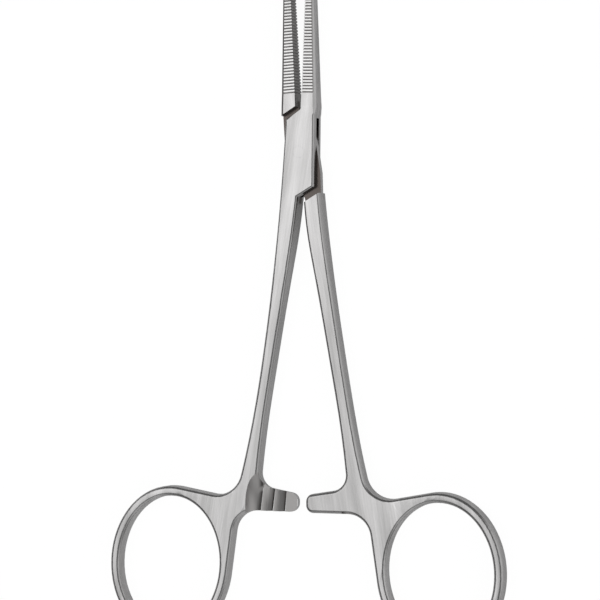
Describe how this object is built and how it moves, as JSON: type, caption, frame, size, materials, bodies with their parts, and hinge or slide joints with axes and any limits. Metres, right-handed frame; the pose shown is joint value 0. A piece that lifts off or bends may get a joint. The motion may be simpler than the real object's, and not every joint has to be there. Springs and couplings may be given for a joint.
{
  "type": "hemostat forceps",
  "caption": "Straight hemostat forceps with serrated clamping jaws, a box lock hinge, long shanks, a ratchet catch and finger rings, lying flat and part open.",
  "frame": {"origin": "on the pivot axis, at the underside of the box lock, which is what lies on the table", "axes": "+Y from the pivot to the jaw tips, +X to the right as the front face is seen, +Z out of the front face, along the pivot axis"},
  "size_m": [0.0773, 0.125, 0.0039],
  "materials": {
    "satin_steel": "satin brushed stainless steel",
    "pin_steel": "satin stainless steel, ground flush"
  },
  "bodies": {
    "box_side": {"box_half": "satin_steel", "pivot_pin": "pin_steel"},
    "tongue_side": {"tongue_half": "satin_steel"}
  },
  "joints": [
    {"name": "box_lock_hinge", "type": "hinge", "parent": "box_side", "child": "tongue_side", "pos_m": [0, 0, 0.00195], "axis": [0, 0, 1], "range_deg": [-5.4, 40]}
  ]
}
